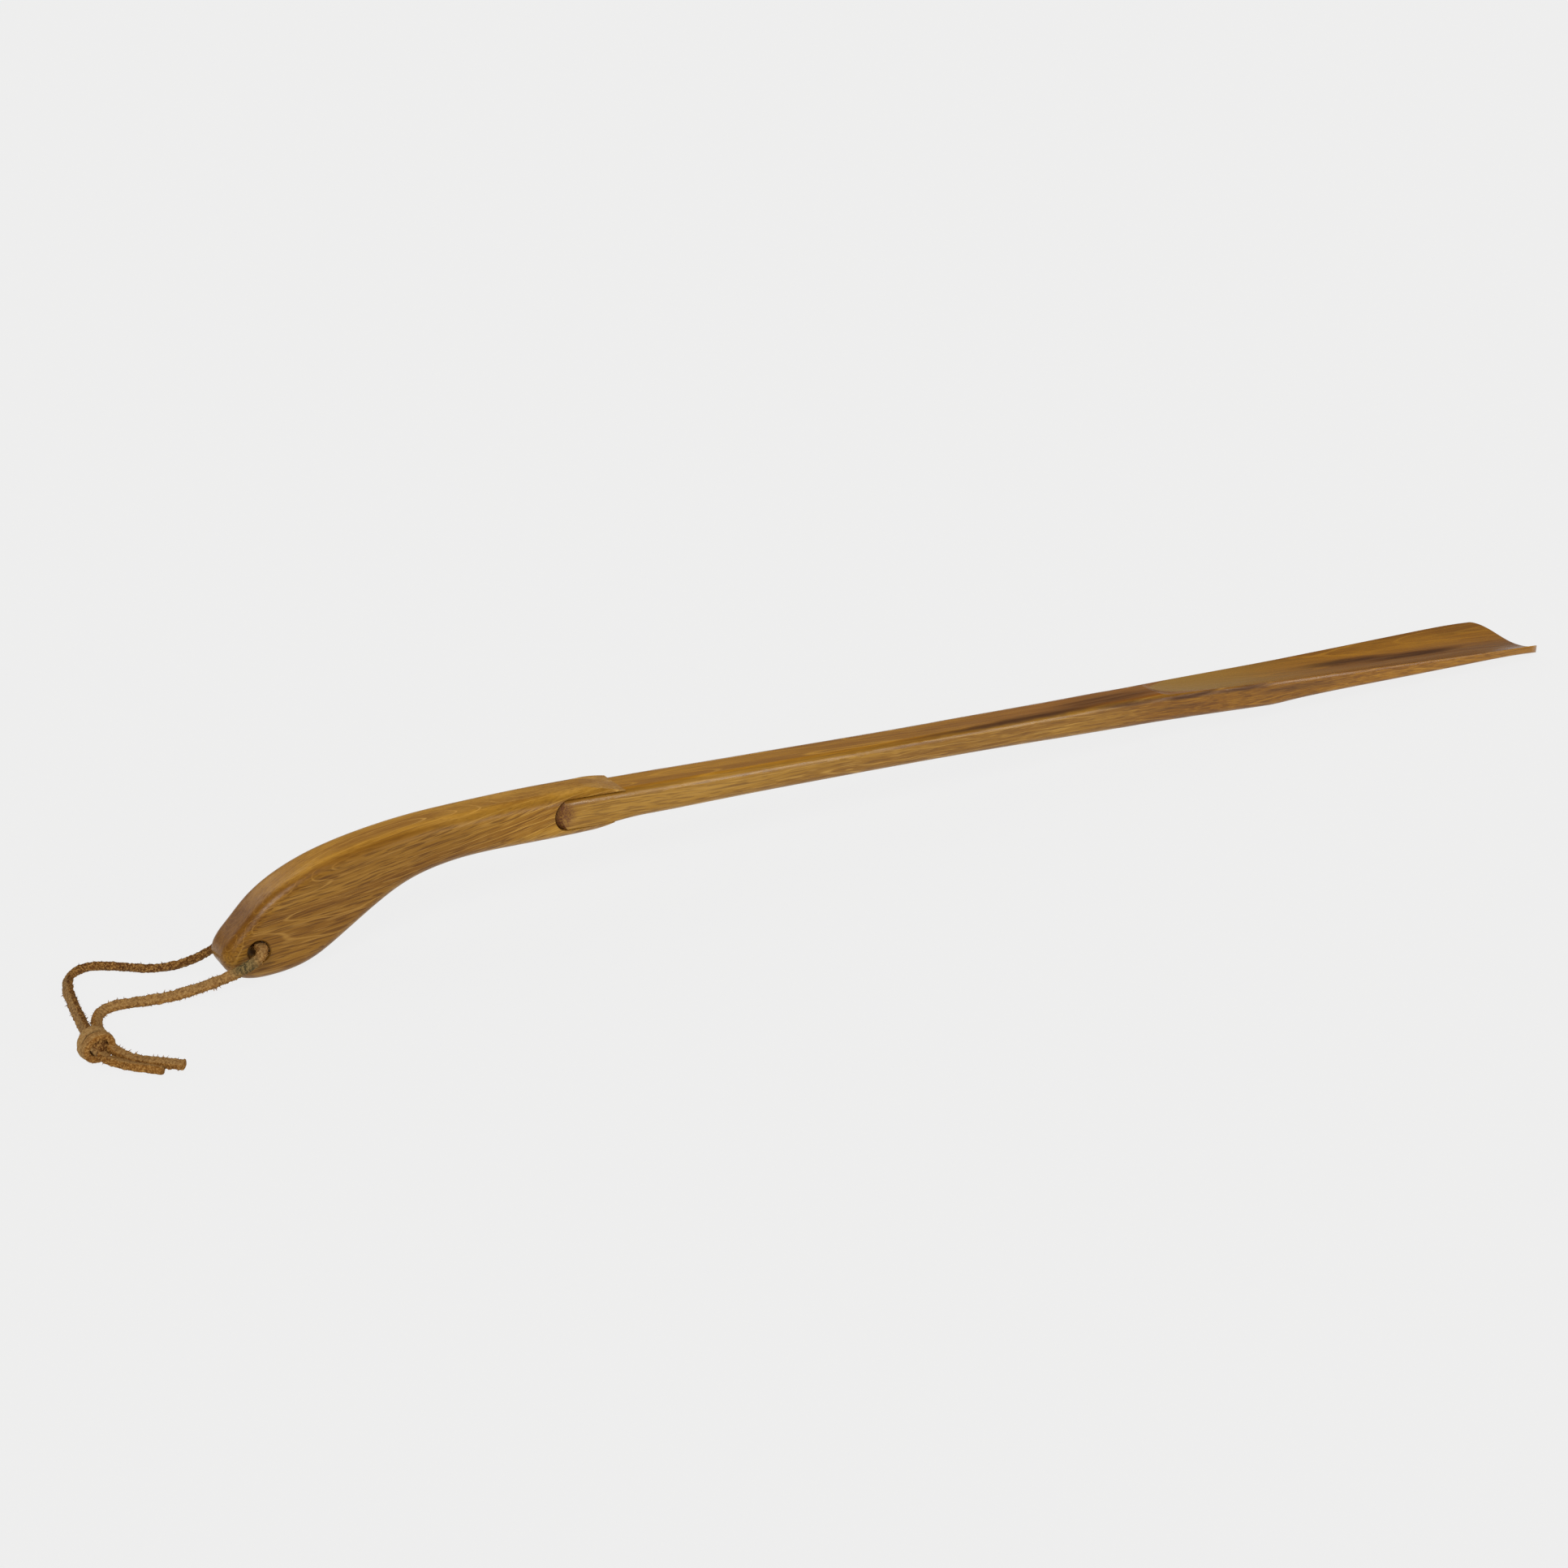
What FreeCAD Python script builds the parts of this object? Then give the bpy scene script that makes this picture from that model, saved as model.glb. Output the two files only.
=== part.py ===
"""Long wooden shoehorn: an S-curved handle, a shaft with a troughed blade let into it, and a leather lace.

Millimetres. X runs from the handle's butt to the blade's tip, Z is up, and the trough opens upwards.
The origin is at the middle of the wooden parts' footprint. The handle's lowest point and the blade's tip
both rest on Z = 0. Stations along the length are counted from the butt and shifted to the origin at the end.
"""

import FreeCAD, Part
import math
import os

V = FreeCAD.Vector

# ---- driving dimensions -------------------------------------------------------------------------
LENGTH = 657.0              # butt to tip
HANDLE_THICKNESS = 18.0     # the board the handle is sawn from
HANDLE_ROUND = 5.0          # round-over along both edges of the board
BORE_STATION = 12.2
BORE_HEIGHT = 11.7
BORE_RADIUS = 4.0
BORE_CHAMFER = 0.4

SHAFT_START = 120.0         # where the shaft's sections begin, before its glued end is rounded
SLOT_END = 126.3            # where the handle's slot stops
END_BEVEL = 3.5             # how far the shaft's end is bevelled back at its sides: it shows as a crescent
END_CORE = 6.2              # half width of the unbevelled middle of that end
END_CLEAR = 0.05
NOSE_STATION = 156.7        # where the handle's nose runs out on the shaft
SLOT_REACH = 165.0          # the slot's two faces are straight up to here
END_SPARE = 2.0             # makes the bevelled end a little flatter than the slot's

TIP_REACH = 17.0            # how much of the blade's length its rounded end takes up
TIP_SQUARENESS = 2.85       # 2 would make that end an ellipse, more makes it squarer
TIP_SKEW = 0.09             # slope of that end: its near corner is cut a little shorter than its far one
TIP_SPARE = 0.05            # keeps the end's outline off the blade's straight sides
TIP_POINTS = 32
TROUGH_FROM = 412.0         # the scooping surface runs over the wood from here to beyond the tip
TROUGH_STEP = 6.0
TROUGH_ROWS = 43
TROUGH_ACROSS = 26.0        # that surface reaches this far to each side
TROUGH_COLUMNS = 4
RIM_INSET = 0.8             # flat left on each rim beside the trough
RIM_DROP = 0.6              # how far below the rim's top the trough meets it
LEAST_RISE = 0.35           # how much higher the trough is at its rims than along its middle, at the least

LACE_DIAMETER = 3.2
KNOT_CENTRE = (-379.5, -32.5, 5.6)
KNOT_SEMI_AXES = (5.9, 6.3, 5.5)
BEND_SHARE = 0.45           # share of a lace's straight run that the bend at its end takes up

ARC_STEPS = 4               # points round each rounded corner of a section
FLAT = 0.01

# The shaft and blade, station by station: (station, value). Between two of them the value runs smoothly.
HALF_WIDTH = [(120, 8.75), (126.3, 8.73), (140, 8.58), (150, 8.41), (157, 8.34), (178, 8.6), (215, 8.5),
              (290, 8.45), (360, 8.6), (390, 8.7), (410, 8.8), (430, 9.6), (460, 11.3), (500, 13.4),
              (540, 15.8), (580, 18.4), (620, 20.7), (645, 21.2), (675, 21.2)]
TOP_HEIGHT = [(120, 41.35), (157, 39.1), (165, 38.614), (196, 36.65), (226, 34.85), (256, 33.03),
              (288, 31.17), (321, 29.48), (355, 27.68), (390, 25.87), (410, 24.83), (430, 23.7),
              (460, 21.5), (500, 18.5), (540, 15.85), (580, 13.2), (620, 10.7), (650, 8.6), (675, 6.7)]
BOTTOM_HEIGHT = [(120, 29.25), (157, 27.05), (165, 26.574), (176, 26.0), (202, 24.95), (231, 23.5),
                 (262, 21.85), (294, 20.0), (327, 17.9), (361, 15.45), (397, 12.83), (410, 12.0),
                 (430, 10.8), (460, 9.0), (484, 7.6), (500, 6.95), (540, 5.2), (580, 3.4), (620, 1.6),
                 (657, 0.0), (675, -0.7)]
UNDERSIDE_CURVATURE = [(120, 0.0002), (480, 0.0002), (486, 0.003), (500, 0.0165), (530, 0.023),
                       (580, 0.0235), (620, 0.0232), (640, 0.0210), (657, 0.0150), (675, 0.0130)]
RIM_ROUND = [(120, 3.0), (430, 3.0), (500, 2.2), (580, 1.4), (640, 1.1), (675, 1.1)]
FOOT_ROUND = [(120, 0.3), (149, 0.3), (156, 1.6), (163, 2.7), (172, 3.0), (430, 3.0), (500, 2.2), (580, 1.4),
              (640, 1.1), (675, 1.1)]
TROUGH_DEPTH = [(412, -0.8), (420.3, 0.0), (424, 0.9), (438, 1.7), (460, 2.6), (505, 3.9), (560, 4.9),
                (620, 5.7), (657, 6.6), (675, 6.8)]
SHAFT_STATIONS = [120, 130, 140, 149, 156, 163, 172, 190, 212, 235, 262, 290, 320, 350, 376, 400]
BLADE_STATIONS = [400, 408, 418, 430, 444, 460, 474, 484, 494, 506, 522, 542, 565, 590, 615, 640, 668]

# The handle's side outline, anticlockwise seen from -Y: the underside from the joint back to the butt,
# round the butt, then along the back to the joint. The stretch inside the slot is only a closing curve.
HANDLE_OUTLINE = [
    (146.0, 24.9), (132.6, 25.2), (111.2, 26.2), (93.5, 26.7), (80.9, 25.7), (68.3, 22.6), (55.7, 16.3),
    (43.0, 8.5), (30.4, 2.0), (16.2, 0.01), (8.4, 0.95), (2.3, 4.8), (0.05, 10.2), (2.0, 14.9), (6.1, 19.3),
    (13.8, 26.7), (25.5, 33.8), (37.9, 38.2), (56.3, 41.7), (74.9, 43.4), (93.8, 43.7), (126.3, 43.1),
    (150.0, 42.2), (166.0, 41.5), (171.9, 39.3), (174.3, 33.6), (171.9, 27.7), (166.0, 25.1), (157.0, 24.5)]
NOSE_BACK = [(134.0, 43.4), (147.5, 41.3), (NOSE_STATION, 38.95)]
NOSE_UNDERSIDE = [(140.0, 25.0), (147.0, 26.35), (151.4, 27.45)]

# Shapes that only cut the wood run past it on every side.
FRAME_LOW = -10.0
FRAME_HIGH = 60.0
BESIDE = 18.0               # beyond the blade's widest or the handle's middle plane
BEFORE = 1.0                # ahead of the shaft's first section

# The lace's route through the bore and both ways to the knot, in the part's own frame.
LACE_FRONT = [
    (-315.4, -7.4, 12.9), (-315.4, -11.6, 13.1), (-318.4, -13.7, 11.2), (-322.8, -13.2, 9.0),
    (-327.7, -12.2, 7.2), (-334.1, -10.6, 5.2), (-340.7, -8.6, 3.6), (-347.5, -6.3, 2.2),
    (-354.3, -4.3, 1.7), (-360.9, -2.0, 1.7), (-366.3, -1.5, 1.7), (-370.7, -3.8, 1.7),
    (-373.4, -9.2, 1.8), (-374.7, -15.6, 2.9), (-375.7, -21.6, 4.4), (-376.9, -27.6, 5.2)]
LACE_BACK = [
    (-315.7, 7.8, 12.3), (-316.1, 11.8, 11.8), (-318.9, 14.0, 9.6), (-322.3, 14.7, 7.0),
    (-326.5, 15.0, 4.4), (-332.7, 15.6, 2.4), (-340.5, 16.0, 1.7), (-349.1, 20.0, 1.7),
    (-356.9, 27.6, 1.7), (-364.9, 32.2, 1.7), (-371.7, 28.8, 1.7), (-375.1, 19.6, 1.7),
    (-376.4, 7.6, 1.7), (-377.5, -4.2, 1.8), (-378.7, -13.6, 3.6), (-379.6, -21.0, 5.4),
    (-380.3, -27.6, 6.6)]
TAIL_LONG = [(-376.1, -31.6, 4.6), (-374.3, -35.4, 3.0), (-371.1, -40.0, 1.7), (-366.9, -44.6, 1.7),
             (-362.3, -48.8, 1.7), (-357.9, -52.6, 1.7)]
TAIL_SHORT = [(-379.1, -33.4, 2.9), (-377.6, -37.8, 2.1), (-374.1, -42.1, 1.7), (-369.9, -47.4, 1.7),
              (-364.9, -52.4, 1.7)]


# ---- curves by station --------------------------------------------------------------------------
def at_station(table, x):
    """Value of a station table at x: a cubic between neighbours that never overshoots them."""
    steps = [(b[1] - a[1]) / (b[0] - a[0]) for a, b in zip(table, table[1:])]
    slopes = [steps[0]]
    for s0, s1 in zip(steps, steps[1:]):
        slopes.append(2 * s0 * s1 / (s0 + s1) if s0 * s1 > 0 else 0.0)
    slopes.append(steps[-1])
    for i in range(len(steps)):
        (x0, y0), (x1, y1) = table[i], table[i + 1]
        if x <= x1:
            break
    span = x1 - x0
    t = (x - x0) / span
    return (y0 * (1 + 2 * t) * (1 - t) ** 2 + y1 * t * t * (3 - 2 * t)
            + span * (slopes[i] * t * (1 - t) ** 2 + slopes[i + 1] * t * t * (t - 1)))


def shaft_top(x):
    return at_station(TOP_HEIGHT, x)


def shaft_bottom(x):
    return at_station(BOTTOM_HEIGHT, x)


# ---- handle -------------------------------------------------------------------------------------
def extruded(face, half_width):
    """A face in the XZ plane, extruded to both sides of it."""
    solid = face.extrude(V(0, 2 * half_width, 0))
    solid.translate(V(0, -half_width, 0))
    return solid


def handle_board():
    """The sawn S-curve with both of its edges rounded over."""
    curve = Part.BSplineCurve()
    curve.interpolate([V(x, 0, z) for x, z in HANDLE_OUTLINE], PeriodicFlag=True)
    face = Part.Face(Part.Wire([curve.toShape()]))
    board = extruded(face, HANDLE_THICKNESS / 2)
    rims = [e for e in board.Edges if e.BoundBox.YLength < FLAT]
    return board.makeFillet(HANDLE_ROUND, rims)


def nose_envelope():
    """What the nose is shaped down to: two arcs that run the handle out onto the shaft."""
    back = Part.Arc(*[V(x, 0, z) for x, z in NOSE_BACK]).toShape()
    under = Part.Arc(*[V(x, 0, z) for x, z in NOSE_UNDERSIDE]).toShape()
    start, end = NOSE_BACK[0], NOSE_BACK[-1]
    low_start, low_end = NOSE_UNDERSIDE[0], NOSE_UNDERSIDE[-1]
    rest = Part.makePolygon([V(low_start[0], 0, low_start[1]), V(low_start[0], 0, FRAME_LOW),
                             V(FRAME_LOW, 0, FRAME_LOW), V(FRAME_LOW, 0, FRAME_HIGH),
                             V(start[0], 0, FRAME_HIGH), V(start[0], 0, start[1])])
    closing = Part.makePolygon([V(end[0], 0, end[1]), V(low_end[0], 0, low_end[1])])
    outline = Part.Wire(Part.__sortEdges__([back, closing.Edges[0], under] + rest.Edges))
    return extruded(Part.Face(outline), BESIDE)


def stadium_wire(station, reach, spare, y=0.0):
    """The outline between the shaft's two faces, each moved out by spare, rounded at its near end."""
    high, low = shaft_top(station) + spare, shaft_bottom(station) - spare
    radius = 0.5 * (high - low)
    turn = station + radius
    up, down = V(turn, y, shaft_top(turn) + spare), V(turn, y, shaft_bottom(turn) - spare)
    tip = V(station, y, 0.5 * (high + low))
    far_up, far_down = V(reach, y, shaft_top(reach) + spare), V(reach, y, shaft_bottom(reach) - spare)
    return Part.Wire([Part.Arc(up, tip, down).toShape(), Part.LineSegment(down, far_down).toShape(),
                      Part.LineSegment(far_down, far_up).toShape(), Part.LineSegment(far_up, up).toShape()])


def lace_bore():
    """The bore for the lace, with a small chamfer at each mouth."""
    half = HANDLE_THICKNESS / 2
    axis = V(0, 1, 0)
    base = V(BORE_STATION, -BESIDE, BORE_HEIGHT)
    bore = Part.makeCylinder(BORE_RADIUS, 2 * BESIDE, base, axis)
    wide = BORE_RADIUS + BORE_CHAMFER
    for side in (-1, 1):
        mouth = V(BORE_STATION, side * half, BORE_HEIGHT)
        bore = bore.fuse(Part.makeCone(wide, BORE_RADIUS, BORE_CHAMFER, mouth, axis * -side))
    return bore


def make_handle():
    body = handle_board().common(nose_envelope())
    slot = extruded(Part.Face(stadium_wire(SLOT_END, SLOT_REACH, 0.0)), BESIDE)
    return body.cut(slot).cut(lace_bore())


# ---- shaft and blade ----------------------------------------------------------------------------
def section(x):
    """A closed outline across the stick at station x: flat top, bowed underside, four rounded corners."""
    half_width, top, bottom = at_station(HALF_WIDTH, x), shaft_top(x), shaft_bottom(x)
    rim, foot = at_station(RIM_ROUND, x), at_station(FOOT_ROUND, x)
    big = 1.0 / at_station(UNDERSIDE_CURVATURE, x)
    rim_y, foot_y = half_width - rim, half_width - foot
    foot_z = bottom + big - math.sqrt((big - foot) ** 2 - foot_y ** 2)
    lean = math.asin(foot_y / (big - foot))
    upper = [(rim_y, top - rim, rim, math.pi / 2), (rim_y, top - rim, rim, 0.0)]
    lower = [(foot_y, foot_z, foot, 0.0), (foot_y, foot_z, foot, lean - math.pi / 2)]
    under = [(0.0, bottom + big, big, lean - math.pi / 2), (0.0, bottom + big, big, -lean - math.pi / 2)]
    right_top, right_foot, bow = (swept(x, *ends) for ends in (upper, lower, under))
    left_foot, left_top = mirrored(right_foot), mirrored(right_top)
    loop = [right_top, [right_top[-1], right_foot[0]], right_foot, bow, left_foot,
            [left_foot[-1], left_top[0]], left_top, [left_top[-1], right_top[0]]]
    return Part.Wire([spline_edge(points) for points in loop])


def swept(x, start, end):
    """Points round an arc at station x, each end given as centre y, centre z, radius and angle."""
    cy, cz, radius, first = start
    last = end[3]
    angles = [first + (last - first) * i / ARC_STEPS for i in range(ARC_STEPS + 1)]
    return [V(x, cy + radius * math.cos(a), cz + radius * math.sin(a)) for a in angles]


def mirrored(points):
    """The same points on the other side of the middle plane, taken in the opposite order."""
    return [V(p.x, -p.y, p.z) for p in reversed(points)]


def spline_edge(points):
    """A smooth edge through evenly spaced points; two points make a straight one."""
    curve = Part.BSplineCurve()
    curve.interpolate(Points=points, Parameters=[i / (len(points) - 1) for i in range(len(points))])
    return curve.toShape()


def blank(stations):
    """A smooth body through the stick's sections at these stations."""
    return Part.makeLoft([section(x) for x in stations], True, False)


def glued_end():
    """Room for the shaft's end: full length in the middle, bevelled back towards both sides."""
    half = HANDLE_THICKNESS / 2
    stops = [(-half, END_BEVEL), (-END_CORE, END_CLEAR), (END_CORE, END_CLEAR), (half, END_BEVEL)]
    wires = [stadium_wire(SLOT_END + back, SLOT_REACH + 1, END_SPARE * back / END_BEVEL + END_CLEAR, y)
             for y, back in stops]
    return Part.makeLoft(wires, True, True)


def waisted_shaft():
    """The stick from its rounded glued end to where the blade begins to widen."""
    corner = V(SHAFT_START - BEFORE, -BESIDE, FRAME_LOW)
    block = Part.makeBox(SLOT_REACH - corner.x, 2 * BESIDE, FRAME_HIGH - FRAME_LOW, corner)
    return blank(SHAFT_STATIONS).cut(block.cut(glued_end()))


def trough_cutter():
    """Everything above the scooped surface: a hollow that starts in a blunt U and widens to the rims."""
    rows = []
    for i in range(TROUGH_ROWS):
        x = TROUGH_FROM + i * TROUGH_STEP
        depth = at_station(TROUGH_DEPTH, x)
        rim = at_station(HALF_WIDTH, x) - RIM_INSET
        rise = max(depth - RIM_DROP, LEAST_RISE) / rim ** 2
        floor = shaft_top(x) - depth
        ys = [TROUGH_ACROSS * j / TROUGH_COLUMNS for j in range(-TROUGH_COLUMNS, TROUGH_COLUMNS + 1)]
        rows.append([V(x, y, floor + rise * y * y) for y in ys])
    surface = Part.BSplineSurface()
    surface.interpolate(rows)
    return surface.toShape().extrude(V(0, 0, FRAME_HIGH))


def tip_outline():
    """The blade's end from above, half a superellipse, as points from one side round to the other."""
    half = at_station(HALF_WIDTH, LENGTH) + TIP_SPARE
    power = 2 / TIP_SQUARENESS
    points = []
    for i in range(TIP_POINTS + 1):
        angle = math.pi * (i / TIP_POINTS - 0.5)
        along = abs(math.cos(angle)) ** power if 0 < i < TIP_POINTS else 0.0
        across = math.copysign(abs(math.sin(angle)) ** power, angle)
        lead = TIP_SKEW * half * across * along
        points.append(V(LENGTH - TIP_REACH * (1 - along) + lead, half * across, 0))
    return points


def tip_envelope():
    """Everything inside the blade's rounded end, and clear of the wood before it."""
    points = tip_outline()
    curve = Part.BSplineCurve()
    curve.interpolate(points)
    first, last = points[0], points[-1]
    wide = V(0, BESIDE, 0)
    back = V(SHAFT_START - BEFORE - last.x, 0, 0)
    rest = Part.makePolygon([last, last + wide, last + wide + back, first - wide + back, first - wide, first])
    solid = Part.Face(Part.Wire([curve.toShape()] + rest.Edges)).extrude(V(0, 0, FRAME_HIGH - FRAME_LOW))
    solid.translate(V(0, 0, FRAME_LOW))
    return solid


def make_shaft_blade():
    blade = blank(BLADE_STATIONS).common(tip_envelope()).cut(trough_cutter())
    return waisted_shaft().fuse(blade)


# ---- lace ---------------------------------------------------------------------------------------
def lace_path(points):
    """Straight runs joined by tangent arcs, each arc as large as its two runs allow."""
    pts = [V(*p) for p in points]
    edges, radii, start = [], [], pts[0]
    for before, corner, after in zip(pts, pts[1:], pts[2:]):
        into, out = (corner - before), (after - corner)
        reach = BEND_SHARE * min(into.Length, out.Length)
        turn = into.getAngle(out)
        radii.append(reach / math.tan(turn / 2))
        into.normalize()
        out.normalize()
        first, last = corner - into * reach, corner + out * reach
        aside = out - into
        aside.normalize()
        sag = radii[-1] * (1 / math.cos(turn / 2) - 1)
        edges.append(Part.LineSegment(start, first).toShape())
        edges.append(Part.Arc(first, corner + aside * sag, last).toShape())
        start = last
    edges.append(Part.LineSegment(start, pts[-1]).toShape())
    return Part.Wire(edges), radii


def lace_tube(name, points):
    """A round lace of full length along a route, checked against its section times its length."""
    path, radii = lace_path(points)
    start = V(*points[0])
    circle = Part.Circle(start, V(*points[1]) - start, LACE_DIAMETER / 2)
    tube = path.makePipeShell([Part.Wire([circle.toShape()])], True, False)
    expected = math.pi * LACE_DIAMETER ** 2 / 4 * path.Length
    print(name, "length %.1f" % path.Length, "volume ratio %.4f" % (tube.Volume / expected),
          "radii", [round(r, 1) for r in radii], "valid", tube.isValid())
    return tube


def lace_knot():
    """Outer shape of the pulled-tight overhand knot."""
    ball = Part.makeSphere(1.0)
    size = FreeCAD.Matrix()
    size.scale(V(*KNOT_SEMI_AXES))
    ball = ball.transformGeometry(size)
    ball.translate(V(*KNOT_CENTRE))
    return ball


def lace_parts():
    knot = lace_knot()
    loop = lace_tube("loop", LACE_FRONT[::-1] + LACE_BACK)
    tails = {"lace_tail_long": lace_tube("long tail", TAIL_LONG),
             "lace_tail_short": lace_tube("short tail", TAIL_SHORT)}
    parts = {"lace_loop": loop.cut(knot), "lace_knot": knot}
    parts.update({name: tail.cut(knot) for name, tail in tails.items()})
    return parts


# ---- all parts ----------------------------------------------------------------------------------
def main():
    os.makedirs("parts", exist_ok=True)
    wood = {"handle": make_handle(), "shaft_blade": make_shaft_blade()}
    for shape in wood.values():
        shape.translate(V(-LENGTH / 2, 0, 0))
    for name, shape in {**wood, **lace_parts()}.items():
        box = shape.BoundBox
        print(name, "solids", len(shape.Solids), "valid", shape.isValid(), "volume %.0f" % shape.Volume,
              "box", [round(v, 2) for v in (box.XMin, box.YMin, box.ZMin, box.XMax, box.YMax, box.ZMax)])
        shape.exportStep("parts/" + name + ".step")


main()
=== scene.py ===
"""Looks for the long shoehorn: oiled oak on the two CAD wood parts, and a suede lace with a tied knot.

Metres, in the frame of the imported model: +X from the handle's butt to the blade's tip, +Z up. The materials
count in millimetres, and a station is a distance in millimetres from the butt along X.
"""
import math
import random

import bpy
import numpy as np
from mathutils import Matrix, Vector, noise


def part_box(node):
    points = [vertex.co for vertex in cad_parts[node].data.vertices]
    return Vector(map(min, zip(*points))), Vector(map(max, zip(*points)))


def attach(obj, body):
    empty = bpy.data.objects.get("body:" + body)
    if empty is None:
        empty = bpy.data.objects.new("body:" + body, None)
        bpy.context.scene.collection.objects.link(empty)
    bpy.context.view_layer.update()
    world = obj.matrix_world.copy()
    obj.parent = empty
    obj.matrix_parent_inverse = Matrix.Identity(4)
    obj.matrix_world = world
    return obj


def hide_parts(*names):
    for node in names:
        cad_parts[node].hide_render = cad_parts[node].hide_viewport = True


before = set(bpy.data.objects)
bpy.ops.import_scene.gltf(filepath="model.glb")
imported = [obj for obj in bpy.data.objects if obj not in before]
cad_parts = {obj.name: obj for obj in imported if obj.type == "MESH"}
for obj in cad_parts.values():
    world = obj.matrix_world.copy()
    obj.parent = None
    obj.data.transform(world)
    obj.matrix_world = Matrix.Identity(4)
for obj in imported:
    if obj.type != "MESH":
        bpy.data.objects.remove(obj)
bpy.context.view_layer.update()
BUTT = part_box("handle")[0].x

# ---- camera -------------------------------------------------------------------------------------
CAMERA_AZIMUTH = math.radians(-32.42)
CAMERA_ELEVATION = math.radians(22.689)
CAMERA_TARGET = Vector((-0.0978, 0.0, 0.0219))
CAMERA_DISTANCE = 0.8611
CAMERA_LENS = 50.31          # millimetres, like the sensor's width
SENSOR_WIDTH = 36.0
CLIP_START = 0.01
CLIP_END = 100.0


def direction(azimuth, elevation):
    """Unit vector from the object towards something seen at that azimuth and elevation."""
    flat = math.cos(elevation)
    return Vector((math.sin(azimuth) * flat, -math.cos(azimuth) * flat, math.sin(elevation)))


def add_camera():
    camera = bpy.data.objects.new("camera", bpy.data.cameras.new("camera"))
    camera.data.lens = CAMERA_LENS
    camera.data.sensor_width = SENSOR_WIDTH
    camera.data.clip_start = CLIP_START
    camera.data.clip_end = CLIP_END
    camera.location = CAMERA_TARGET + direction(CAMERA_AZIMUTH, CAMERA_ELEVATION) * CAMERA_DISTANCE
    camera.rotation_euler = (math.pi / 2 - CAMERA_ELEVATION, 0.0, CAMERA_AZIMUTH)
    bpy.context.scene.collection.objects.link(camera)
    bpy.context.scene.camera = camera


add_camera()

# ---- lace: routes -------------------------------------------------------------------------------
LACE_WIDTH = 0.0034
LACE_THICKNESS = 0.0027
LACE_FRONT = [
    (-0.31555, 0.0, 0.0126), (-0.3154, -0.0074, 0.0129), (-0.3154, -0.0116, 0.0131),
    (-0.3184, -0.0137, 0.0112), (-0.3228, -0.0132, 0.0090), (-0.3277, -0.0122, 0.0072),
    (-0.3341, -0.0106, 0.0052), (-0.3407, -0.0086, 0.0036), (-0.3475, -0.0063, 0.0022),
    (-0.3543, -0.0043, 0.0017), (-0.3609, -0.0020, 0.0017), (-0.3663, -0.0015, 0.0017),
    (-0.3707, -0.0038, 0.0017), (-0.3734, -0.0092, 0.0018), (-0.3747, -0.0156, 0.0029),
    (-0.3757, -0.0216, 0.0044), (-0.3769, -0.0276, 0.0052), (-0.3781, -0.0312, 0.0056)]
LACE_BACK = [
    (-0.31555, 0.0, 0.0126), (-0.3157, 0.0078, 0.0123), (-0.3161, 0.0118, 0.0118),
    (-0.3189, 0.0140, 0.0096), (-0.3223, 0.0147, 0.0070), (-0.3265, 0.0150, 0.0044),
    (-0.3327, 0.0156, 0.0024), (-0.3405, 0.0160, 0.0017), (-0.3491, 0.0200, 0.0017),
    (-0.3569, 0.0276, 0.0017), (-0.3649, 0.0322, 0.0017), (-0.3717, 0.0288, 0.0017),
    (-0.3751, 0.0196, 0.0017), (-0.3764, 0.0076, 0.0017), (-0.3775, -0.0042, 0.0018),
    (-0.3787, -0.0136, 0.0036), (-0.3796, -0.0210, 0.0054), (-0.3803, -0.0276, 0.0066),
    (-0.3800, -0.0312, 0.0060)]
TAIL_LONG = [
    (-0.3783, -0.0300, 0.0056), (-0.3761, -0.0316, 0.0048), (-0.3743, -0.0354, 0.0030),
    (-0.3711, -0.0400, 0.0018), (-0.3669, -0.0446, 0.0017), (-0.3623, -0.0488, 0.0017),
    (-0.3579, -0.0526, 0.0017)]
TAIL_SHORT = [
    (-0.3803, -0.0305, 0.0040), (-0.3791, -0.0334, 0.0029), (-0.3776, -0.0378, 0.0021),
    (-0.3741, -0.0421, 0.0017), (-0.3699, -0.0474, 0.0017), (-0.3649, -0.0524, 0.0017)]
CURVE_ORDER = 3              # the routes are NURBS curves of this order, cut into this many pieces per point
CURVE_PIECES = 24


def route_line(points, step):
    """Points about step apart along the smooth NURBS curve that has the route's points as control points."""
    curve = bpy.data.curves.new("route", "CURVE")
    curve.dimensions = "3D"
    curve.resolution_u = CURVE_PIECES
    spline = curve.splines.new("NURBS")
    spline.points.add(len(points) - 1)
    for place, point in zip(spline.points, points):
        place.co = (*point, 1.0)
    spline.order_u = CURVE_ORDER
    spline.use_endpoint_u = True
    holder = bpy.data.objects.new("route", curve)
    mesh = bpy.data.meshes.new_from_object(holder)
    line = np.array([v.co for v in mesh.vertices])
    bpy.data.meshes.remove(mesh)
    bpy.data.curves.remove(curve)
    return evenly(line, step)


def evenly(line, step):
    """The same line with its points step apart."""
    along = np.concatenate([[0.0], np.cumsum(np.linalg.norm(np.diff(line, axis=0), axis=1))])
    at = np.linspace(0.0, along[-1], max(3, round(along[-1] / step) + 1))
    return np.stack([np.interp(at, along, line[:, k]) for k in range(3)], axis=1)


def line_length(line):
    return float(np.linalg.norm(np.diff(line, axis=0), axis=1).sum())


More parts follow.
